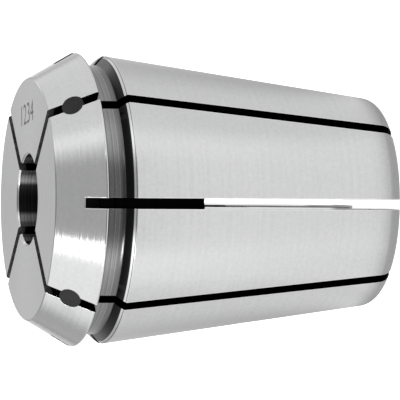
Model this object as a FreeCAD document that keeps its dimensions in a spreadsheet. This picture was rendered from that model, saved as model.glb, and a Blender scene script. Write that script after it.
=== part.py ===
import FreeCAD, Part
import math
import os
import re
import Sketcher
from FreeCAD import Placement, Rotation, Vector

# Size 32 tapping collet: one turned and sawn steel sleeve, with four rubber pins that seal its front slots.
# The sleeve stands on its small rear face, so +Z runs along its axis from the rear face to the nose.
# Lengths are in millimetres and angles in degrees. Places along the axis are depths behind the front face.

SIZES = {
    # Outside of the sleeve
    "overall_length": 40.0,
    "collar_diameter": 32.6,
    "face_diameter": 26.8,
    "nose_half_angle": 30.0,
    "collar_land": 0.23,
    "groove_diameter": 29.9,
    "groove_floor_length": 2.2,
    "flank_length": 0.6,
    "flank_top_diameter": 31.3,
    "shoulder_length": 0.45,
    "taper_diameter": 32.0,
    "taper_half_angle": 8.0,
    "rear_edge_radius": 1.7,
    "collar_edge_break": 0.12,
    "face_edge_break": 0.1,
    # Inside of the sleeve
    "bore_diameter": 10.0,
    "bore_length": 24.0,
    "bore_mouth_chamfer": 0.2,
    "square_width": 8.0,
    "square_length": 10.0,
    "square_corner_diameter": 10.4,
    "relief_diameter": 13.0,
    "relief_chamfer": 0.4,
    # Saw slots
    "slot_count": 4,
    "saw_diameter": 80.0,
    "slot_floor_radius": 3.0,
    "rear_slot_width": 1.15,
    "rear_slot_start": 2.85,
    "front_slot_width": 1.15,
    "front_saw_depth": 0.0,
    "web_saw_height": 0.0,
    # Seal pins
    "pin_diameter": 2.45,
    "pin_depth": 2.45,
    "pin_clearance": 0.02,
    "pin_recess": 0.03,
    "pin_bore_gap": 0.25,
    # How far a cut reaches past the metal
    "cut_margin": 1.0,
}

# Radii and heights that follow from the sizes. Heights are above the rear face.
WORKED_OUT = {
    "nose_length": "(collar_diameter - face_diameter) / 2 / tan(nose_half_angle * 1deg)",
    "collar_height": "overall_length - nose_length - collar_land",
    "flank_height": "collar_height - groove_floor_length",
    "shoulder_height": "flank_height - flank_length",
    "taper_height": "shoulder_height - shoulder_length",
    "rear_diameter": "taper_diameter - 2 * taper_height * tan(taper_half_angle * 1deg)",
    "square_height": "overall_length - bore_length",
    "relief_height": "square_height - square_length",
    "saw_radius": "saw_diameter / 2",
    "saw_centre_radius": "saw_radius + slot_floor_radius",
    "saw_entry_radius": "collar_diameter / 2 + cut_margin",
    "saw_entry_reach": "sqrt(saw_radius^2 - (saw_centre_radius - saw_entry_radius)^2)",
    "slot_start_radius": "face_diameter / 2 + rear_slot_start * tan(nose_half_angle * 1deg)",
    "slot_start_reach": "sqrt(saw_radius^2 - (saw_centre_radius - slot_start_radius)^2)",
    "rear_saw_height": "overall_length - rear_slot_start - slot_start_reach",
    "front_saw_height": "overall_length - front_saw_depth",
    "pin_radius": "face_diameter / 2 + pin_depth * tan(nose_half_angle * 1deg)",
    "pin_height": "overall_length - pin_depth",
    "pin_length": "(pin_radius - slot_floor_radius) / cos(nose_half_angle * 1deg)",
    "pin_hole_diameter": "pin_diameter + 2 * pin_clearance",
    "pin_sink": "pin_recess / sin(nose_half_angle * 1deg)",
}

doc = FreeCAD.newDocument("er_collet")
sheet = doc.addObject("Spreadsheet::Sheet", "Sizes")
cells = SIZES | {alias: "=" + formula for alias, formula in WORKED_OUT.items()}
for row, (alias, content) in enumerate(cells.items(), start=1):
    sheet.set(f"A{row}", alias)
    sheet.set(f"B{row}", str(content))
    sheet.setAlias(f"B{row}", alias)
doc.recompute()


def size(alias):
    """The number that a cell of the sheet holds."""
    return float(getattr(sheet, alias))


def origin_part(body, role):
    """The origin plane or axis of a body, by its role."""
    return next(item for item in body.Origin.OriginFeatures if item.Role == role)


def add_sketch(body, name, role, turn=None):
    """A sketch on one of its own body's origin planes, turned about the collet's axis if asked."""
    sketch = body.newObject("Sketcher::SketchObject", name)
    sketch.AttachmentSupport = [(origin_part(body, role), "")]
    sketch.MapMode = "FlatFace"
    if turn:
        sketch.AttachmentOffset = Placement(Vector(), Rotation(Vector(0, 1, 0), 1))
        sketch.setExpression("AttachmentOffset.Rotation.Angle", turn)
    return sketch


def evaluate(sketch, formula):
    """The present value of a formula of the sheet's names."""
    return float(sketch.evalExpression(named(formula)))


def named(formula):
    """Puts the sheet's name before each alias in a formula."""
    return re.sub("[a-z_]{4,}", lambda word: f"Sizes.{word.group()}", formula)


def hold_point(sketch, geometry, end, across, up):
    """Ties one end of a line to its formulas across and up the sketch."""
    for kind, formula in (("DistanceX", across), ("DistanceY", up)):
        value = evaluate(sketch, formula)
        index = sketch.addConstraint(Sketcher.Constraint(kind, -1, 1, geometry, end, value))
        sketch.setExpression(f"Constraints[{index}]", named(formula))


def closed_outline(sketch, corners):
    """Joins corners, each a pair of formulas, into a closed outline of straight lines."""
    points = [Vector(evaluate(sketch, across), evaluate(sketch, up), 0) for across, up in corners]
    first = sketch.GeometryCount
    for number, point in enumerate(points):
        sketch.addGeometry(Part.LineSegment(point, points[(number + 1) % len(points)]), False)
    for number, (across, up) in enumerate(corners):
        following = first + (number + 1) % len(corners)
        sketch.addConstraint(Sketcher.Constraint("Coincident", first + number, 2, following, 1))
        hold_point(sketch, first + number, 1, across, up)


def tip(body, feature):
    """Makes a feature the body's result and works it out."""
    body.Tip = feature
    doc.recompute()
    return feature


def around(body, name, cut):
    """Repeats a cut evenly about the collet's axis, once for each slot."""
    pattern = body.newObject("PartDesign::PolarPattern", name)
    pattern.Originals = [cut]
    pattern.Axis = (origin_part(body, "Z_Axis"), [""])
    pattern.Angle = 360
    pattern.setExpression("Occurrences", "Sizes.slot_count")
    return tip(body, pattern)


def round_edges(shape, radius, height):
    """Names of the full circles of one radius at one height on a shape."""
    names = []
    for number, edge in enumerate(shape.Edges, start=1):
        curve = edge.Curve
        if isinstance(curve, Part.Circle) and abs(curve.Radius - radius) < 1e-4:
            if abs(curve.Center.z - height) < 1e-4:
                names.append(f"Edge{number}")
    return names


def dress(body, name, kind, radius, height, sizes):
    """Fillets or chamfers the round edge of one radius and height."""
    base = body.Tip
    feature = body.newObject(kind, name)
    feature.Base = (base, round_edges(base.Shape, radius, height))
    for prop, alias in sizes.items():
        feature.setExpression(prop, f"Sizes.{alias}")
    return tip(body, feature)


# The turned sleeve, from the face down the outside and back up through the bores
def turned_blank(body):
    profile = add_sketch(body, "sleeve_profile", "XZ_Plane")
    closed_outline(profile, [
        ("bore_diameter / 2", "overall_length"),
        ("face_diameter / 2", "overall_length"),
        ("collar_diameter / 2", "overall_length - nose_length"),
        ("collar_diameter / 2", "collar_height"),
        ("groove_diameter / 2", "collar_height"),
        ("groove_diameter / 2", "flank_height"),
        ("flank_top_diameter / 2", "shoulder_height"),
        ("taper_diameter / 2", "taper_height"),
        ("rear_diameter / 2", "0"),
        ("relief_diameter / 2", "0"),
        ("relief_diameter / 2", "relief_height"),
        ("square_width / 2", "relief_height"),
        ("square_width / 2", "square_height"),
        ("bore_diameter / 2", "square_height"),
    ])
    blank = body.newObject("PartDesign::Revolution", "turned_blank")
    blank.Profile = (profile, [""])
    blank.ReferenceAxis = (profile, ["V_Axis"])
    blank.Angle = 360
    tip(body, blank)
    dress(body, "rear_edge", "PartDesign::Fillet", size("rear_diameter") / 2, 0,
          {"Radius": "rear_edge_radius"})
    dress(body, "collar_edge", "PartDesign::Chamfer", size("collar_diameter") / 2, size("collar_height"),
          {"Size": "collar_edge_break"})
    dress(body, "face_edge", "PartDesign::Chamfer", size("face_diameter") / 2, size("overall_length"),
          {"Size": "face_edge_break"})
    dress(body, "bore_mouth", "PartDesign::Chamfer", size("bore_diameter") / 2, size("overall_length"),
          {"Size": "bore_mouth_chamfer"})
    dress(body, "relief_mouth", "PartDesign::Chamfer", size("relief_diameter") / 2, 0,
          {"Size": "relief_chamfer"})


# The broached square that drives the tool's tang, its corners cut round by the broach
def drive_square(body):
    sketch = add_sketch(body, "square_profile", "XY_Plane")
    flat = size("square_width") / 2
    corner = size("square_corner_diameter") / 2
    spread = math.acos(flat / corner)
    for side in range(4):
        middle = side * math.pi / 2
        start = Vector(corner * math.cos(middle - spread), corner * math.sin(middle - spread), 0)
        end = Vector(corner * math.cos(middle + spread), corner * math.sin(middle + spread), 0)
        sketch.addGeometry(Part.LineSegment(start, end), False)
        circle = Part.Circle(Vector(), Vector(0, 0, 1), corner)
        sketch.addGeometry(Part.ArcOfCircle(circle, middle + spread, middle + math.pi / 2 - spread), False)
    for side in range(4):
        line = 2 * side
        arc = line + 1
        sketch.addConstraint(Sketcher.Constraint("Coincident", arc, 3, -1, 1))
        sketch.addConstraint(Sketcher.Constraint("Coincident", line, 2, arc, 1))
        sketch.addConstraint(Sketcher.Constraint("Coincident", arc, 2, (line + 2) % 8, 1))
        sketch.addConstraint(Sketcher.Constraint("Vertical" if side % 2 == 0 else "Horizontal", line))
        across = sketch.addConstraint(Sketcher.Constraint("Distance", -1, 1, line, flat))
        sketch.setExpression(f"Constraints[{across}]", "Sizes.square_width / 2")
    round_corner = sketch.addConstraint(Sketcher.Constraint("Radius", 1, corner))
    sketch.setExpression(f"Constraints[{round_corner}]", "Sizes.square_corner_diameter / 2")
    sketch.setExpression("AttachmentOffset.Base.z", "Sizes.relief_height")
    pocket = body.newObject("PartDesign::Pocket", "drive_square")
    pocket.Profile = (sketch, [""])
    pocket.setExpression("Length", "Sizes.square_length")
    pocket.Reversed = True
    tip(body, pocket)


def saw_outline(sketch, saw_height, mouth, upward):
    """The path of a saw in the slot's own plane.

    The blade comes in past the mouth and stops with its centre at saw_height, so the slot ends in an
    arc of the blade. upward is 1 where the slot runs up from the rear face, and -1 where it runs down.
    """
    radius = size("saw_radius")
    centre = Vector(size("saw_centre_radius"), evaluate(sketch, saw_height), 0)
    floor = Vector(size("slot_floor_radius"), centre.y, 0)
    tipped = Vector(size("saw_entry_radius"), centre.y + upward * size("saw_entry_reach"), 0)
    far = evaluate(sketch, mouth)
    corners = [Vector(tipped.x, far, 0), Vector(floor.x, far, 0)]
    angles = [math.pi, math.atan2(tipped.y - centre.y, tipped.x - centre.x) % (2 * math.pi)]
    circle = Part.Circle(centre, Vector(0, 0, 1), radius)
    sketch.addGeometry(Part.ArcOfCircle(circle, min(angles), max(angles)), False)
    sketch.addGeometry(Part.LineSegment(tipped, corners[0]), False)
    sketch.addGeometry(Part.LineSegment(corners[0], corners[1]), False)
    sketch.addGeometry(Part.LineSegment(corners[1], floor), False)
    arc_floor, arc_tip = (2, 1) if upward > 0 else (1, 2)
    sketch.addConstraint(Sketcher.Constraint("Coincident", 0, arc_tip, 1, 1))
    sketch.addConstraint(Sketcher.Constraint("Coincident", 1, 2, 2, 1))
    sketch.addConstraint(Sketcher.Constraint("Coincident", 2, 2, 3, 1))
    sketch.addConstraint(Sketcher.Constraint("Coincident", 3, 2, 0, arc_floor))
    hold_point(sketch, 0, 3, "saw_centre_radius", saw_height)
    hold_point(sketch, 2, 1, "saw_entry_radius", mouth)
    hold_point(sketch, 3, 1, "slot_floor_radius", mouth)
    hold_point(sketch, 3, 2, "slot_floor_radius", saw_height)
    sketch.addConstraint(Sketcher.Constraint("Vertical", 1))


def saw_slots(body, name, width, saw_height, mouth, upward, turn=None):
    """One saw slot, centred on its plane, and its copies about the axis."""
    sketch = add_sketch(body, f"{name}_profile", "XZ_Plane", turn)
    saw_outline(sketch, saw_height, mouth, upward)
    slot = body.newObject("PartDesign::Pocket", name)
    slot.Profile = (sketch, [""])
    slot.SideType = "Symmetric"
    slot.setExpression("Length", f"Sizes.{width}")
    tip(body, slot)
    around(body, f"{name}s", slot)


# Half a step between two rear slots, where the front slots and the pins lie
HALF_STEP = "180 / Sizes.slot_count"


def pin_sketch(body, name, diameter, turn="0"):
    """A circle on the nose cone, in the plane that touches the cone there, for a pin or its hole."""
    sketch = body.newObject("Sketcher::SketchObject", name)
    sketch.AttachmentSupport = [(origin_part(body, "XY_Plane"), "")]
    sketch.MapMode = "FlatFace"
    foot = f"vector(Sizes.pin_radius * cos({turn}); Sizes.pin_radius * sin({turn}); Sizes.pin_height)"
    lean = f"rotation({turn}; 90 - Sizes.nose_half_angle; 0)"
    sketch.setExpression("AttachmentOffset", f"placement({foot}; {lean})")
    circle = sketch.addGeometry(Part.Circle(Vector(), Vector(0, 0, 1), size(diameter) / 2), False)
    sketch.addConstraint(Sketcher.Constraint("Coincident", circle, 3, -1, 1))
    across = sketch.addConstraint(Sketcher.Constraint("Diameter", circle, size(diameter)))
    sketch.setExpression(f"Constraints[{across}]", f"Sizes.{diameter}")
    return sketch


# The steel sleeve
def collet_body():
    body = doc.addObject("PartDesign::Body", "collet_body")
    body.Label = "collet_body"
    turned_blank(body)
    drive_square(body)
    saw_slots(body, "rear_slot", "rear_slot_width", "rear_saw_height", "0 - cut_margin", 1)
    saw_slots(body, "front_slot", "front_slot_width", "front_saw_height",
              "overall_length + cut_margin", -1, HALF_STEP)
    saw_slots(body, "web_slot", "front_slot_width", "web_saw_height", "0 - cut_margin", 1, HALF_STEP)
    hole_sketch = pin_sketch(body, "pin_hole_profile", "pin_hole_diameter", HALF_STEP)
    hole = body.newObject("PartDesign::Pocket", "pin_hole")
    hole.Profile = (hole_sketch, [""])
    hole.SideType = "Two sides"
    hole.setExpression("Length", "Sizes.pin_length")
    hole.setExpression("Length2", "Sizes.cut_margin")
    tip(body, hole)
    around(body, "pin_holes", hole)
    return body


# One rubber pin, from just under the nose cone down its slot to just short of the bore
def seal_pin(number):
    body = doc.addObject("PartDesign::Body", f"seal_pin_{number}")
    body.Label = f"seal_pin_{number}"
    rod = body.newObject("PartDesign::Pad", "rod")
    rod.Profile = (pin_sketch(body, "rod_profile", "pin_diameter"), [""])
    rod.SideType = "Two sides"
    rod.setExpression("Length", "Sizes.cut_margin")
    rod.setExpression("Length2", "Sizes.pin_length")
    tip(body, rod)
    ends = add_sketch(body, "ends_profile", "XZ_Plane")
    closed_outline(ends, [
        ("0", "square_height"),
        ("bore_diameter / 2 + pin_bore_gap", "square_height"),
        ("bore_diameter / 2 + pin_bore_gap", "overall_length"),
        ("face_diameter / 2", "overall_length - pin_sink"),
        ("collar_diameter / 2", "overall_length - nose_length - pin_sink"),
        ("collar_diameter / 2", "overall_length + cut_margin"),
        ("0", "overall_length + cut_margin"),
    ])
    trim = body.newObject("PartDesign::Groove", "trimmed_ends")
    trim.Profile = (ends, [""])
    trim.ReferenceAxis = (ends, ["V_Axis"])
    trim.Angle = 360
    tip(body, trim)
    body.Placement = Placement(Vector(), Rotation(Vector(0, 0, 1), 1))
    body.setExpression("Placement.Rotation.Angle", f"({number} - 0.5) * 360 / Sizes.slot_count")
    return body


sub_parts = [collet_body()]
sub_parts += [seal_pin(number) for number in range(1, int(size("slot_count")) + 1)]
doc.recompute()

for item in doc.Objects:
    faults = [state for state in item.State if state in ("Invalid", "Error")]
    if faults:
        raise RuntimeError(f"{item.Label} is {faults}")
for part in sub_parts:
    if part.Shape.isNull() or not part.Shape.isValid() or len(part.Shape.Solids) != 1:
        raise RuntimeError(f"{part.Label} is not one valid solid")

os.makedirs("parts", exist_ok=True)
for part in sub_parts:
    part.Shape.exportStep(f"parts/{part.Label}.step")
    box = part.Shape.BoundBox
    print(f"{part.Label}: {part.Shape.Volume:.1f} mm3, z {box.ZMin:.3f} to {box.ZMax:.3f}")
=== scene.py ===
import bpy
import math
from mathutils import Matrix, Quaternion, Vector


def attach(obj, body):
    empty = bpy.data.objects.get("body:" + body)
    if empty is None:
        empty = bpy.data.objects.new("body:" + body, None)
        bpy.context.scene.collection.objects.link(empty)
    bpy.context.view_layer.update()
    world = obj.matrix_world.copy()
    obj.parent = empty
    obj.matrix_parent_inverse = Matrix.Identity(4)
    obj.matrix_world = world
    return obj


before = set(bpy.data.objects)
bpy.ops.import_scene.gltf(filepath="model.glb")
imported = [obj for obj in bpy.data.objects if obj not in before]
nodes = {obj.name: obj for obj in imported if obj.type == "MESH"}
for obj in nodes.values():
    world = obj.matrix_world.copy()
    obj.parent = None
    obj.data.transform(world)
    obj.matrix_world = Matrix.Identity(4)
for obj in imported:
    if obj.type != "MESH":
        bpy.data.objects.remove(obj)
bpy.context.view_layer.update()
mm = 0.001
print("frame loaded:", len(nodes), "pieces")

# Sizes of the collet that its finish goes by, in millimetres and degrees; heights are above the rear face
collet = {
    "length": 40.0,
    "faceRadius": 13.4,
    "noseAngle": 30.0,
    "collarHeight": 34.75,
    "flankHeight": 32.55,
    "shoulderHeight": 31.95,
    "slotHalf": 0.575,
    "slotTop": 37.15,
}


# Small helpers for node trees
def newMaterial(name):
    material = bpy.data.materials.new(name)
    material.use_nodes = True
    material.node_tree.nodes.clear()
    return material, material.node_tree


def addNode(tree, kind, **settings):
    node = tree.nodes.new(kind)
    for name, value in settings.items():
        setattr(node, name, value)
    return node


def plug(tree, value, socket):
    if isinstance(value, bpy.types.NodeSocket):
        tree.links.new(value, socket)
    else:
        socket.default_value = value


def calc(tree, operation, *values):
    node = addNode(tree, "ShaderNodeMath", operation=operation)
    for socket, value in zip(node.inputs, values):
        plug(tree, value, socket)
    return node.outputs[0]


def product(tree, first, *others):
    for other in others:
        first = calc(tree, "MULTIPLY", first, other)
    return first


def without(tree, mask):
    return calc(tree, "SUBTRACT", 1.0, mask)


def vectorCalc(tree, operation, *values, output="Vector"):
    node = addNode(tree, "ShaderNodeVectorMath", operation=operation)
    for socket, value in zip(node.inputs, values):
        plug(tree, value, socket)
    return node.outputs[output]


def split(tree, vector):
    node = addNode(tree, "ShaderNodeSeparateXYZ")
    plug(tree, vector, node.inputs[0])
    return node.outputs


def join(tree, *values):
    node = addNode(tree, "ShaderNodeCombineXYZ")
    for socket, value in zip(node.inputs, values):
        plug(tree, value, socket)
    return node.outputs[0]


# A direction in a piece's own axes, turned to the room's
def toRoom(tree, vector, kind):
    node = addNode(tree, "ShaderNodeVectorTransform", vector_type=kind, convert_from="OBJECT",
                   convert_to="WORLD")
    plug(tree, vector, node.inputs[0])
    return node.outputs[0]


# low below start and high above end, with a smooth step between; start may be the larger one
def ramp(tree, value, start, end, low=0.0, high=1.0, kind="SMOOTHSTEP"):
    node = addNode(tree, "ShaderNodeMapRange", interpolation_type=kind)
    parts = {"Value": value, "From Min": start, "From Max": end, "To Min": low, "To Max": high}
    for name, part in parts.items():
        plug(tree, part, node.inputs[name])
    return node.outputs[0]


def blendNumber(tree, share, first, second):
    node = addNode(tree, "ShaderNodeMix", data_type="FLOAT")
    for socket, value in zip(node.inputs[:1] + node.inputs[2:4], (share, first, second)):
        plug(tree, value, socket)
    return node.outputs[0]


def blendVector(tree, share, first, second):
    node = addNode(tree, "ShaderNodeMix", data_type="VECTOR")
    for socket, value in zip(node.inputs[:1] + node.inputs[4:6], (share, first, second)):
        plug(tree, value, socket)
    return node.outputs[1]


def noise(tree, vector, scale, detail=2.0, rough=0.5):
    node = addNode(tree, "ShaderNodeTexNoise", noise_dimensions="3D")
    for name, value in (("Vector", vector), ("Scale", scale), ("Detail", detail), ("Roughness", rough)):
        plug(tree, value, node.inputs[name])
    return node.outputs[0]


def lineNoise(tree, along, scale, detail=2.0, rough=0.5):
    node = addNode(tree, "ShaderNodeTexNoise", noise_dimensions="1D")
    for name, value in (("W", along), ("Scale", scale), ("Detail", detail), ("Roughness", rough)):
        plug(tree, value, node.inputs[name])
    return node.outputs[0]


def grey(tree, value):
    node = addNode(tree, "ShaderNodeCombineColor")
    for socket in node.inputs:
        plug(tree, value, socket)
    return node.outputs[0]


def finishMaterial(tree, shader):
    output = addNode(tree, "ShaderNodeOutputMaterial")
    plug(tree, shader.outputs[0], output.inputs[0])


def newGroup(name, inputs, outputs):
    tree = bpy.data.node_groups.new(name, "ShaderNodeTree")
    for label, kind in inputs.items():
        tree.interface.new_socket(label, in_out="INPUT", socket_type=f"NodeSocket{kind}")
    for label in outputs:
        tree.interface.new_socket(label, in_out="OUTPUT", socket_type="NodeSocketFloat")
    return tree, addNode(tree, "NodeGroupInput").outputs, addNode(tree, "NodeGroupOutput").inputs


def useGroup(tree, group, **values):
    node = addNode(tree, "ShaderNodeGroup", node_tree=group)
    for name, value in values.items():
        plug(tree, value, node.inputs[name])
    return node.outputs


# The sleeve's steel, in millimetres and degrees. Scales are for each metre, or in "lines" for each ridge.
steel = {
    # How each zone is finished, with the pitch, bump and sway of its lines. The dark tones of the flank,
    # the bore and the slots' walls and floors are painted shade.
    "zones": {
        "body": {"tone": 0.66, "rough": 0.24, "pitch": 0.09, "bump": 0.0006, "sway": 1.0},
        "nose": {"tone": 0.66, "rough": 0.15, "pitch": 0.16, "bump": 0.0012, "sway": 3.0},
        "face": {"tone": 0.65, "rough": 0.22, "pitch": 0.10, "bump": 0.0006, "sway": 0.0},
        "groove": {"tone": 0.25, "rough": 0.22, "pitch": 0.15, "bump": 0.01, "sway": 1.0},
        "flank": {"tone": 0.02, "rough": 0.20, "pitch": 0.15, "bump": 0.001, "sway": 0.0},
        "bore": {"tone": 0.17, "rough": 0.32, "pitch": 0.30, "bump": 0.003, "sway": 0.0},
        "sawn": {"tone": 0.008, "rough": 0.6, "pitch": 0.2, "bump": 0.01, "sway": 0.0},
        "wall": {"tone": 0.008, "rough": 0.12, "pitch": 0.2, "bump": 0.0005, "sway": 0.0},
    },
    # Where each mask starts and is full, past a size of the collet or by the way the metal faces
    "edges": {
        "nose": (-0.02, 0.02),  # past the collar's height
        "grooveTop": (0.04, -0.02),  # past the collar's height
        "grooveFoot": (-0.03, 0.03),  # past the flank's height
        "flankTop": (0.06, -0.04),  # past the flank's height
        "flankFoot": (-0.16, -0.10),  # past the shoulder's height
        "face": (-0.3, -0.2),  # past the length
        "faceUp": (0.92, 0.97),  # facing up
        "bore": (-0.75, -0.9),  # facing out from the axis, and below 0 in towards it
        "slotFloor": (-0.2, 0.0),  # facing out
        "slotDepth": (0.1, 0.2),  # under the nose cone
        "slotSide": (0.02, 0.01),  # past half a slot's width
        "wall": (0.7, 0.9),  # facing round the collet
    },
    "lines": {
        "fineDetail": (4.0, 0.65),
        "otherStart": 57.3,
        "broadStart": 11.0,
        "broadScale": 0.18,
        "broadShare": 0.6,
    },
    "patches": {"scale": 420.0, "detail": 1.0, "noise": (0.4, 0.6), "cloudDetail": (3.0, 0.6)},
    "nicks": {"scale": 900.0, "noise": (0.25, 0.75), "widths": (0.7, 1.3)},
    "rings": {"noise": (0.3, 0.7), "tones": (0.72, 1.28)},
    "streaks": {"noise": (0.2, 0.8), "tones": (0.985, 1.015), "roughs": (1.08, 0.92)},
    "grain": {"scale": 2600.0, "detail": (3.0, 0.7), "noise": (0.3, 0.7), "tones": (0.975, 1.025)},
    # Painted highlights along the slots' edges
    "highlight": {"width": 0.13, "tone": 0.9, "end": 0.05},
    "boreWear": {"width": 0.5, "from": 30.5, "to": 29.5},
    # Painted bright bands and shade in the bore
    "boreBandsAndShade": {"slot": 0.95, "peak": 1.45, "near": 1.8, "far": 2.4, "levels": (1.3, 3.2, 0.35)},
    # The slots' mouths: mottled, and paler than the painted shade deeper in the slots
    "mouth": {"scale": 1900.0, "detail": (2.0, 0.6), "noise": (0.35, 0.65), "tones": (0.07, 0.14),
              "rough": 0.6, "edge": (38.9, 39.4)},
    # Painted shade: dark lines along an edge of the face and at the shoulder
    "edgeShadeLines": {"faceEdge": (39.93, 0.10, 0.76), "shoulder": (31.58, 0.065, 0.25)},
    "lip": {"top": 35.04, "foot": 34.75, "lean": (30.0, -62.0)},
    "heel": {"top": 32.95, "foot": 32.58, "lean": (0.0, 27.0)},
    # Painted shade at the foot of the groove's floor
    "heelShade": {"level": 0.6, "top": 33.2, "foot": 32.8},
    "rolledEnds": {"top": 0.02, "foot": 0.01, "sideways": (0.5, 0.3)},
    "edgeBreak": {"front": 0.16, "rear": 0.05, "soft": 0.1, "samples": 8},
    "anisotropy": 0.75,
    "anisotropyTurn": 0.25,
    "coolness": (0.995, 1.0, 1.0),
}


# Lines left by grinding or turning. Two patterns of fine ridges swap in soft patches, so that each line
# starts and fades, and a broader pattern gives the tone. The starts set the patterns apart.
def makeToolLines():
    inputs = {"Position": "Vector", "Across": "Float", "Pitch": "Float"}
    tree, given, wanted = newGroup("toolLines", inputs, ["Height", "Tone", "Ring"])
    lines, patches = steel["lines"], steel["patches"]
    count = calc(tree, "DIVIDE", given["Across"], given["Pitch"])
    fine = lineNoise(tree, count, 1.0, *lines["fineDetail"])
    other = lineNoise(tree, calc(tree, "ADD", count, lines["otherStart"]), 1.0, *lines["fineDetail"])
    patch = noise(tree, given["Position"], patches["scale"], patches["detail"])
    patch = ramp(tree, patch, *patches["noise"])
    broad = lineNoise(tree, calc(tree, "ADD", count, lines["broadStart"]), lines["broadScale"])
    cloud = noise(tree, given["Position"], patches["scale"], *patches["cloudDetail"])
    tone = calc(tree, "ADD", product(tree, broad, lines["broadShare"]),
                product(tree, cloud, 1.0 - lines["broadShare"]))
    plug(tree, blendNumber(tree, patch, fine, other), wanted["Height"])
    plug(tree, tone, wanted["Tone"])
    plug(tree, fine, wanted["Ring"])
    return tree


# Distances from the saw slots' middle planes: two square to X and Y, and two halfway between
def makeSlotDistance():
    tree, given, wanted = newGroup("slotDistance", {"Position": "Vector"}, ["Rear", "Front"])
    across, along = split(tree, given["Position"])[:2]
    sides = [calc(tree, "ABSOLUTE", part) for part in (across, along)]
    diagonals = [calc(tree, "ABSOLUTE", calc(tree, step, across, along)) for step in ("ADD", "SUBTRACT")]
    plug(tree, calc(tree, "MINIMUM", *sides), wanted["Rear"])
    plug(tree, product(tree, calc(tree, "MINIMUM", *diagonals), math.sqrt(0.5)), wanted["Front"])
    return tree


# 1 in a thin line along an edge, with small nicks that make it wider and narrower; it places painted
# highlights
def makeEdgeWear():
    inputs = {"Position": "Vector", "Distance": "Float", "Width": "Float"}
    tree, given, wanted = newGroup("edgeWear", inputs, ["Wear"])
    nicks = steel["nicks"]
    ragged = ramp(tree, noise(tree, given["Position"], nicks["scale"]), *nicks["noise"], *nicks["widths"])
    width = product(tree, given["Width"], ragged)
    plug(tree, ramp(tree, calc(tree, "ABSOLUTE", given["Distance"]), width, 0.0), wanted["Wear"])
    return tree


toolLines = makeToolLines()
slotDistance = makeSlotDistance()
edgeWear = makeEdgeWear()


# Where a spot on the steel lies, and which way it faces
def measureSpot(tree):
    place = addNode(tree, "ShaderNodeTexCoord").outputs
    across, along, height = split(tree, place["Object"])
    facingAcross, facingAlong, facingUp = split(tree, place["Normal"])
    squares = calc(tree, "ADD", product(tree, across, across), product(tree, along, along))
    radius = calc(tree, "SQRT", squares)

    # How far it faces round the collet, which only a slot's wall does, and how far out from the axis
    turning = calc(tree, "SUBTRACT", product(tree, facingAlong, across), product(tree, facingAcross, along))
    leaving = calc(tree, "ADD", product(tree, facingAcross, across), product(tree, facingAlong, along))
    return {
        "position": place["Object"],
        "across": across,
        "along": along,
        "height": height,
        "radius": radius,
        "up": facingUp,
        "outward": calc(tree, "DIVIDE", leaving, radius),
        "sideways": calc(tree, "ABSOLUTE", calc(tree, "DIVIDE", turning, radius)),
    }


def above(tree, spot, start, end, *levels):
    return ramp(tree, spot["height"], start * mm, end * mm, *levels)


# The slots' floors lie within a slot's width and under the nose cone, and face outwards
def findSlotFloors(tree, spot, slots, faceAt):
    toFace = calc(tree, "SUBTRACT", collet["length"] * mm, spot["height"])
    coneRadius = product(tree, toFace, math.tan(math.radians(collet["noseAngle"])))
    coneRadius = calc(tree, "ADD", coneRadius, collet["faceRadius"] * mm)
    start, end = steel["edges"]["slotDepth"]
    sunk = ramp(tree, calc(tree, "SUBTRACT", coneRadius, spot["radius"]), start * mm, end * mm)
    start, end = (collet["slotHalf"] + edge for edge in steel["edges"]["slotSide"])
    within = ramp(tree, calc(tree, "MINIMUM", *slots), start * mm, end * mm)
    facing = ramp(tree, spot["outward"], *steel["edges"]["slotFloor"])
    return product(tree, within, sunk, facing, without(tree, faceAt))


# One mask for each zone but the body, which they lie on; each later one lies over those before it
def findZones(tree, spot, slots):
    def past(name, edge):
        start, end = (collet[name] + shift for shift in steel["edges"][edge])
        return above(tree, spot, start, end)

    faceAt = product(tree, ramp(tree, spot["up"], *steel["edges"]["faceUp"]), past("length", "face"))
    wallAt = ramp(tree, spot["sideways"], *steel["edges"]["wall"])
    floorAt = findSlotFloors(tree, spot, slots, faceAt)
    return {
        "nose": past("collarHeight", "nose"),
        "groove": product(tree, past("collarHeight", "grooveTop"), past("flankHeight", "grooveFoot")),
        "flank": product(tree, past("flankHeight", "flankTop"), past("shoulderHeight", "flankFoot")),
        "face": faceAt,
        "bore": ramp(tree, spot["outward"], *steel["edges"]["bore"]),
        "sawn": calc(tree, "MAXIMUM", wallAt, floorAt),
        "wall": wallAt,
    }


def byZone(tree, zones, setting):
    value = steel["zones"]["body"][setting]
    for name, mask in zones.items():
        value = blendNumber(tree, mask, value, steel["zones"][name][setting])
    return value


# Painted highlights: bright lines along the slots' edges, on the turned surfaces and low in the bore
def findWear(tree, spot, zones, slots):
    highlight, low = steel["highlight"], steel["boreWear"]
    lowBore = product(tree, zones["bore"], above(tree, spot, low["from"], low["to"]))
    width = blendNumber(tree, lowBore, highlight["width"] * mm, low["width"] * mm)
    rear, front = (
        useGroup(tree, edgeWear, Position=spot["position"], Width=width,
                 Distance=calc(tree, "SUBTRACT", distance, collet["slotHalf"] * mm))[0]
        for distance in slots)
    top = collet["slotTop"]
    rear = product(tree, rear, above(tree, spot, top + highlight["end"], top - highlight["end"]))
    covered = calc(tree, "SUBTRACT", zones["bore"], lowBore)
    for name in ("groove", "flank", "sawn"):
        covered = calc(tree, "MAXIMUM", covered, zones[name])
    return product(tree, calc(tree, "MAXIMUM", rear, front), without(tree, covered))


# Painted highlights and shade in the bore: its tone is raised into bright bands beside the front slots and
# lowered between them
def paintBoreBands(tree, frontDistance):
    bands = steel["boreBandsAndShade"]
    beside, brightest, between = bands["levels"]
    level = ramp(tree, frontDistance, bands["slot"] * mm, bands["peak"] * mm, beside, brightest)
    return ramp(tree, frontDistance, bands["near"] * mm, bands["far"] * mm, level, between)


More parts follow.
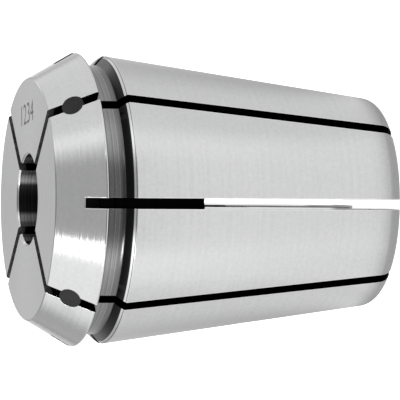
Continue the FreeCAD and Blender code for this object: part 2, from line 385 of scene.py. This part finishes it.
# Deep turning marks show as dark and light rings in the groove and the bore, and other lines are faint
def toneSteel(tree, spot, zones, slots, lines, ringed, mouthAt):
    rings, streaks, grain, mouth = (steel[name] for name in ("rings", "streaks", "grain", "mouth"))
    streaked = ramp(tree, lines["Tone"], *streaks["noise"], *streaks["tones"])
    turned = ramp(tree, lines["Ring"], *rings["noise"], *rings["tones"])
    tone = product(tree, byZone(tree, zones, "tone"), blendNumber(tree, ringed, streaked, turned))
    # Painted highlights and shade: bright bands in the bore beside the front slots, dark between them
    tone = product(tree, tone, blendNumber(tree, zones["bore"], 1.0, paintBoreBands(tree, slots[1])))
    # Painted shade: the groove's floor darkens towards its foot at the flank
    heel = steel["heelShade"]
    shade = above(tree, spot, heel["foot"], heel["top"], heel["level"], 1.0)
    tone = product(tree, tone, blendNumber(tree, zones["groove"], 1.0, shade))
    speckle = noise(tree, spot["position"], grain["scale"], *grain["detail"])
    tone = product(tree, tone, ramp(tree, speckle, *grain["noise"], *grain["tones"]))
    # Painted highlights: bright lines along the slots' edges
    tone = blendNumber(tree, findWear(tree, spot, zones, slots), tone, steel["highlight"]["tone"])

    # Mottled slot mouths, and painted shade: dark lines at an edge of the face and at the shoulder, where
    # these edges mirror dark
    mottle = noise(tree, spot["position"], mouth["scale"], *mouth["detail"])
    tone = blendNumber(tree, mouthAt, tone, ramp(tree, mottle, *mouth["noise"], *mouth["tones"]))
    for middle, half, share in steel["edgeShadeLines"].values():
        away = calc(tree, "ABSOLUTE", calc(tree, "SUBTRACT", spot["height"], middle * mm))
        line = product(tree, ramp(tree, away, half * mm, 0.0), without(tree, zones["face"]))
        tone = blendNumber(tree, line, tone, product(tree, tone, share))
    return tone


# Sharp edges look rounded, by more in front of the flank than behind it
def breakEdges(tree, spot):
    broken, middle = steel["edgeBreak"], collet["flankHeight"]
    edge = addNode(tree, "ShaderNodeBevel", samples=broken["samples"])
    size = above(tree, spot, middle - broken["soft"], middle + broken["soft"],
                 broken["rear"] * mm, broken["front"] * mm)
    plug(tree, size, edge.inputs["Radius"])
    return edge.outputs[0]


# Two edges are rounder than the metal under them: the collar's land, and the foot of the groove's floor.
# Their normals lean evenly from one height to another.
def rollEdges(tree, spot, normal):
    ends = steel["rolledEnds"]
    onSurface = ramp(tree, spot["sideways"], *ends["sideways"])
    for name in ("lip", "heel"):
        top, foot = steel[name]["top"], steel[name]["foot"]
        first, last = (math.radians(angle) for angle in steel[name]["lean"])
        lean = ramp(tree, spot["height"], top * mm, foot * mm, first, last, kind="LINEAR")
        level = calc(tree, "DIVIDE", calc(tree, "COSINE", lean), spot["radius"])
        rolled = join(tree, product(tree, spot["across"], level), product(tree, spot["along"], level),
                      calc(tree, "SINE", lean))
        share = product(tree, above(tree, spot, top + ends["top"], top),
                        above(tree, spot, foot - ends["foot"], foot), onSurface)
        normal = blendVector(tree, share, normal, toRoom(tree, rolled, "NORMAL"))
    return normal


# Each fine line leans to one side or the other, by up to its zone's sway, which frays the edges of what
# the metal mirrors. The noise lies between 0 and 1, so its distance from a half is doubled.
def swayLines(tree, spot, zones, ring, normal):
    swing = product(tree, calc(tree, "SUBTRACT", ring, 0.5), 2.0, byZone(tree, zones, "sway"))
    swing = calc(tree, "DIVIDE", product(tree, swing, math.radians(1.0)), spot["radius"])
    aside = join(tree, product(tree, spot["along"], swing, -1.0), product(tree, spot["across"], swing), 0.0)
    return vectorCalc(tree, "NORMALIZE", vectorCalc(tree, "ADD", normal, toRoom(tree, aside, "VECTOR")))


def makeSteel():
    material, tree = newMaterial("ground_steel")
    spot = measureSpot(tree)
    slots = useGroup(tree, slotDistance, Position=spot["position"])
    zones = findZones(tree, spot, slots)
    ringed = calc(tree, "MAXIMUM", zones["groove"], zones["bore"])

    # Lines run round the collet, so they cross its height, or its radius on the flat face
    crossed = blendNumber(tree, zones["face"], spot["height"], spot["radius"])
    lines = useGroup(tree, toolLines, Position=spot["position"], Across=crossed,
                     Pitch=product(tree, byZone(tree, zones, "pitch"), mm))

    # At their mouths in the face the slots' walls are rougher, and paler than the painted shade deeper in
    mouth, streaks = steel["mouth"], steel["streaks"]
    mouthAt = product(tree, zones["sawn"], above(tree, spot, *mouth["edge"]))
    tone = toneSteel(tree, spot, zones, slots, lines, ringed, mouthAt)
    rough = blendNumber(tree, mouthAt, byZone(tree, zones, "rough"), mouth["rough"])
    rough = product(tree, rough, ramp(tree, lines["Tone"], *streaks["noise"], *streaks["roughs"]))

    normal = rollEdges(tree, spot, breakEdges(tree, spot))
    normal = swayLines(tree, spot, zones, lines["Ring"], normal)
    bump = addNode(tree, "ShaderNodeBump")
    bump.inputs["Distance"].default_value = 1.0
    ridges = blendNumber(tree, ringed, lines["Height"], lines["Ring"])
    plug(tree, product(tree, ridges, byZone(tree, zones, "bump"), mm), bump.inputs["Height"])
    plug(tree, normal, bump.inputs["Normal"])

    shader = addNode(tree, "ShaderNodeBsdfPrincipled")
    shader.inputs["Metallic"].default_value = 1.0
    shader.inputs["Anisotropic"].default_value = steel["anisotropy"]
    shader.inputs["Anisotropic Rotation"].default_value = steel["anisotropyTurn"]
    tint = vectorCalc(tree, "MULTIPLY", grey(tree, tone), Vector(steel["coolness"]))
    tangent = addNode(tree, "ShaderNodeTangent", direction_type="RADIAL", axis="Z")
    plug(tree, tint, shader.inputs["Base Color"])
    plug(tree, rough, shader.inputs["Roughness"])
    plug(tree, bump.outputs[0], shader.inputs["Normal"])
    plug(tree, tangent.outputs[0], shader.inputs["Tangent"])
    finishMaterial(tree, shader)
    return material


# Moulded black rubber of the seal pins: soft clouds of tone, and a fine grain whose depth is in millimetres
rubber = {
    "tone": 0.021,
    "rough": 0.65,
    "shine": 0.3,
    "cloud": {"scale": 700.0, "noise": (0.25, 0.75), "tones": (0.8, 1.2)},
    "grain": {"scale": 9000.0, "detail": (3.0, 0.6), "noise": (0.2, 0.8), "roughs": (0.85, 1.15),
              "depth": 0.02, "strength": 0.12},
}


def makeRubber():
    material, tree = newMaterial("seal_rubber")
    position = addNode(tree, "ShaderNodeTexCoord").outputs["Object"]
    cloud, grain = rubber["cloud"], rubber["grain"]
    clouded = ramp(tree, noise(tree, position, cloud["scale"]), *cloud["noise"], *cloud["tones"])
    grainy = noise(tree, position, grain["scale"], *grain["detail"])
    rough = product(tree, rubber["rough"], ramp(tree, grainy, *grain["noise"], *grain["roughs"]))
    bump = addNode(tree, "ShaderNodeBump")
    bump.inputs["Distance"].default_value = grain["depth"] * mm
    bump.inputs["Strength"].default_value = grain["strength"]
    plug(tree, grainy, bump.inputs["Height"])
    shader = addNode(tree, "ShaderNodeBsdfPrincipled")
    shader.inputs["Specular IOR Level"].default_value = rubber["shine"]
    plug(tree, grey(tree, product(tree, rubber["tone"], clouded)), shader.inputs["Base Color"])
    plug(tree, rough, shader.inputs["Roughness"])
    plug(tree, bump.outputs[0], shader.inputs["Normal"])
    finishMaterial(tree, shader)
    return material


def dressNode(name, material):
    piece = nodes[name]
    piece.data.materials.clear()
    piece.data.materials.append(material)


dressNode("collet_body", makeSteel())
sealRubber = makeRubber()
for name in sorted(nodes):
    if name.startswith("seal_pin"):
        dressNode(name, sealRubber)
print("collet finished in ground steel and rubber")

# A plain number etched on the face, between two slots, in millimetres and degrees
mark = {
    "text": "1234",
    "middle": (9.35, 0.75),
    "size": 3.3,
    "turn": -81.8,
    "thin": -0.01,
    "above": 0.004,
    "weld": 0.001,
    "tone": 0.2,
    "rough": 0.55,
    "speckle": {"scale": 14000.0, "detail": (3.0, 0.7), "noise": (0.3, 0.7), "tones": (0.7, 1.3),
                "roughs": (1.1, 0.9)},
}


def makeEtching():
    material, tree = newMaterial("etched_number")
    position = addNode(tree, "ShaderNodeTexCoord").outputs["Object"]
    speckle = mark["speckle"]
    dots = noise(tree, position, speckle["scale"], *speckle["detail"])
    tone = product(tree, mark["tone"], ramp(tree, dots, *speckle["noise"], *speckle["tones"]))
    rough = product(tree, mark["rough"], ramp(tree, dots, *speckle["noise"], *speckle["roughs"]))
    shader = addNode(tree, "ShaderNodeBsdfPrincipled")
    shader.inputs["Metallic"].default_value = 1.0
    plug(tree, grey(tree, tone), shader.inputs["Base Color"])
    plug(tree, rough, shader.inputs["Roughness"])
    finishMaterial(tree, shader)
    return material


def addMark():
    bpy.ops.object.select_all(action="DESELECT")
    bpy.ops.object.text_add()
    piece = bpy.context.active_object
    piece.name = "etched_number"
    letters = piece.data
    letters.body = mark["text"]
    letters.size = mark["size"] * mm
    letters.align_x, letters.align_y = "CENTER", "CENTER"
    letters.offset = mark["thin"] * mm
    letters.extrude = mark["above"] * mm
    bpy.ops.object.convert(target="MESH")
    piece.location = (*(place * mm for place in mark["middle"]), collet["length"] * mm)
    piece.rotation_euler = (0, 0, math.radians(mark["turn"]))
    bpy.ops.object.transform_apply(location=True, rotation=True, scale=True)
    bpy.ops.object.mode_set(mode="EDIT")
    bpy.ops.mesh.select_all(action="SELECT")
    bpy.ops.mesh.remove_doubles(threshold=mark["weld"] * mm)
    bpy.ops.object.mode_set(mode="OBJECT")
    piece.data.materials.clear()
    piece.data.materials.append(makeEtching())
    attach(piece, "root")


addMark()
print("number etched on the face")

# A pale floor, in millimetres and degrees. It shows white to the camera under a faint shadow. The metal
# mirrors a bright patch of it in front of the collet, and a dark one beyond that on the camera's side.
floor = {
    "size": 6000.0,
    "drop": 0.02,
    "tone": 0.8,
    "white": 0.87,
    "inside": {"white": 1.0, "from": 11.5, "to": 13.5},
    "front": {"near": 1.02, "far": 1.11, "from": 28.0, "to": 60.0},
    "side": {"from": 52.0, "to": 72.0, "level": 0.88, "turn": 8.0},
    "back": {"from": 90.0, "to": 145.0, "near": 0.52, "far": 0.66, "start": 30.0, "end": 140.0},
    "behind": {"from": 158.0, "to": 172.0, "level": 1.05},
    "dark": {"level": 0.22, "near": 85.0, "far": 110.0, "inner": 26.0, "outer": 46.0},
    "contact": {"level": 0.5, "from": 12.5, "to": 16.5},
    "strips": {"left": (-53.0, -44.0), "right": (56.0, 66.0), "soft": 7.0, "level": 0.25},
}


# The angle of a level direction from the front, in degrees, + towards +X
def azimuthOf(tree, across, along):
    angle = calc(tree, "ARCTAN2", across, product(tree, along, -1.0))
    return product(tree, angle, 180 / math.pi)


# What the metal mirrors in the floor: the front, the sides, the back, then the parts that lie over them
def makeFloorLevel(tree, distance, azimuth):
    def past(start, end, *levels):
        return ramp(tree, distance, start * mm, end * mm, *levels)

    front, side, back, behind = (floor[name] for name in ("front", "side", "back", "behind"))
    dark, contact, strips = (floor[name] for name in ("dark", "contact", "strips"))
    turned = calc(tree, "ABSOLUTE", azimuth)
    sideways = calc(tree, "ABSOLUTE", calc(tree, "ADD", azimuth, side["turn"]))
    level = past(front["from"], front["to"], front["near"], front["far"])
    level = ramp(tree, sideways, side["from"], side["to"], level, side["level"])
    backLevel = past(back["start"], back["end"], back["near"], back["far"])
    level = ramp(tree, turned, back["from"], back["to"], level, backLevel)
    level = ramp(tree, turned, behind["from"], behind["to"], level, behind["level"])
    distant = past(dark["near"], dark["far"])
    shade = product(tree, distant, ramp(tree, turned, dark["outer"], dark["inner"]))
    level = blendNumber(tree, shade, level, dark["level"])
    # Painted shadow: what the metal mirrors of the floor is darker close round the collet's foot
    level = product(tree, level, past(contact["from"], contact["to"], contact["level"], 1.0))
    for start, end in (strips["left"], strips["right"]):
        strip = product(tree, ramp(tree, azimuth, start - strips["soft"], start),
                        ramp(tree, azimuth, end + strips["soft"], end))
        level = calc(tree, "ADD", level, product(tree, strip, distant, strips["level"]))
    return level


def makeFloorMaterial():
    material, tree = newMaterial("pale_floor")
    place = addNode(tree, "ShaderNodeTexCoord").outputs["Object"]
    distance = vectorCalc(tree, "LENGTH", place, output="Value")
    azimuth = azimuthOf(tree, *split(tree, place)[:2])
    path = addNode(tree, "ShaderNodeLightPath").outputs

    # Under the collet no light reaches the floor, so what a slot shows of it is white by itself
    inside = floor["inside"]
    white = ramp(tree, distance, inside["from"] * mm, inside["to"] * mm, inside["white"], floor["white"])
    diffuse = addNode(tree, "ShaderNodeBsdfDiffuse")
    diffuse.inputs["Color"].default_value = (floor["tone"],) * 3 + (1,)
    seen = addNode(tree, "ShaderNodeEmission")
    plug(tree, product(tree, path["Is Camera Ray"], white), seen.inputs["Strength"])
    lit = addNode(tree, "ShaderNodeAddShader")
    plug(tree, diffuse.outputs[0], lit.inputs[0])
    plug(tree, seen.outputs[0], lit.inputs[1])

    mirror = addNode(tree, "ShaderNodeEmission")
    plug(tree, makeFloorLevel(tree, distance, azimuth), mirror.inputs["Strength"])
    mirrored = calc(tree, "MAXIMUM", path["Is Glossy Ray"], path["Is Transmission Ray"])
    both = addNode(tree, "ShaderNodeMixShader")
    plug(tree, mirrored, both.inputs[0])
    plug(tree, lit.outputs[0], both.inputs[1])
    plug(tree, mirror.outputs[0], both.inputs[2])
    finishMaterial(tree, both)
    return material


def addFloor():
    bpy.ops.object.select_all(action="DESELECT")
    bpy.ops.mesh.primitive_plane_add(size=floor["size"] * mm, location=(0, 0, -floor["drop"] * mm))
    piece = bpy.context.active_object
    piece.name = "floor"
    piece.data.materials.append(makeFloorMaterial())


addFloor()
print("floor laid")

# Studio light all round. Each soft card spans some azimuths and heights, in degrees, and adds its level.
sky = {
    "front": 0.52,
    "back": {"level": 0.66, "low": 0.42, "from": 143.0, "to": 152.0, "horizon": (3.0, 8.0)},
    "top": {"level": 0.3, "from": 64.0, "to": 76.0},
    "darkSide": {"azimuth": 28.0, "soft": 14.0, "height": 30.0, "softHeight": 8.0, "level": 0.22},
    "cardEnds": 8.0,
    "cards": {
        "leftWide": {"azimuth": (-103, -40), "soft": (28, 5), "height": (-20, 64), "level": 0.62},
        "leftStrip": {"azimuth": (-52, -41), "soft": (4, 3), "height": (-20, 64), "level": 0.5},
        "leftHigh": {"azimuth": (-112, -42), "soft": (10, 5), "height": (50, 66), "level": 0.45},
        "rightWide": {"azimuth": (56, 145), "soft": (20, 20), "height": (-20, 64), "level": 0.36},
        "rightStrip": {"azimuth": (58, 64), "soft": (9, 9), "height": (-20, 64), "level": 0.18},
        "rightHigh": {"azimuth": (66, 82), "soft": (12, 14), "height": (50, 66), "level": 0.75},
        "leftLow": {"azimuth": (-47, -38), "soft": (6, 2), "height": (24, 32), "level": 14.0},
        "rightLow": {"azimuth": (38, 41), "soft": (2, 2), "height": (20, 26), "level": 3.0},
        "rightBack": {"azimuth": (150, 164), "soft": (5, 5), "height": (20, 26), "level": 0.5},
    },
}


# 1 inside a card, with soft sides and soft ends
def cardMask(tree, azimuth, height, card):
    (left, right), (softLeft, softRight), (low, high) = card["azimuth"], card["soft"], card["height"]
    ends = sky["cardEnds"]
    return product(tree, ramp(tree, azimuth, left - softLeft, left),
                   ramp(tree, azimuth, right + softRight, right),
                   ramp(tree, height, low - ends, low), ramp(tree, height, high + ends, high))


def makeSky():
    world = bpy.data.worlds.new("studio")
    bpy.context.scene.world = world
    world.use_nodes = True
    tree = world.node_tree
    tree.nodes.clear()
    across, along, up = split(tree, addNode(tree, "ShaderNodeTexCoord").outputs["Generated"])
    azimuth = azimuthOf(tree, across, along)
    height = product(tree, calc(tree, "ARCSINE", up), 180 / math.pi)
    turned = calc(tree, "ABSOLUTE", azimuth)
    back, top, dark = sky["back"], sky["top"], sky["darkSide"]
    level = ramp(tree, turned, back["from"], back["to"], sky["front"],
                 ramp(tree, height, *back["horizon"], back["low"], back["level"]))
    for card in sky["cards"].values():
        light = product(tree, cardMask(tree, azimuth, height, card), card["level"])
        level = calc(tree, "ADD", level, light)
    level = blendNumber(tree, ramp(tree, height, top["from"], top["to"]), level, top["level"])
    shade = product(tree, ramp(tree, turned, dark["azimuth"] + dark["soft"], dark["azimuth"]),
                    ramp(tree, height, dark["height"] + dark["softHeight"], dark["height"]))
    level = blendNumber(tree, shade, level, dark["level"])
    seen = addNode(tree, "ShaderNodeLightPath").outputs["Is Camera Ray"]
    glow = addNode(tree, "ShaderNodeBackground")
    glow.inputs["Color"].default_value = (1, 1, 1, 1)
    plug(tree, blendNumber(tree, seen, level, 1.0), glow.inputs["Strength"])
    output = addNode(tree, "ShaderNodeOutputWorld")
    plug(tree, glow.outputs[0], output.inputs[0])


makeSky()
print("studio light set")

# The camera's place, aim and reach in millimetres, and its turn in degrees about its own line of sight
view = {
    "place": (9.8657, -427.6758, 139.5868),
    "aim": (0.0757, 0.0, 20.1318),
    "reach": (10.0, 10000.0),
    "turn": 89.515,
    "lens": 356.755,
    "sensor": 36.0,
}


def addCamera():
    data = bpy.data.cameras.new("camera")
    data.lens = view["lens"]
    data.sensor_width = view["sensor"]
    data.clip_start, data.clip_end = (distance * mm for distance in view["reach"])
    piece = bpy.data.objects.new("camera", data)
    bpy.context.scene.collection.objects.link(piece)
    place, aim = (Vector(view[name]) * mm for name in ("place", "aim"))
    piece.location = place
    piece.rotation_mode = "QUATERNION"
    turn = Quaternion((0, 0, 1), -math.radians(view["turn"]))
    piece.rotation_quaternion = (aim - place).to_track_quat("-Z", "Y") @ turn
    bpy.context.scene.camera = piece


addCamera()
bpy.context.scene.view_settings.view_transform = "Standard"
print("camera placed")

bpy.context.view_layer.update()
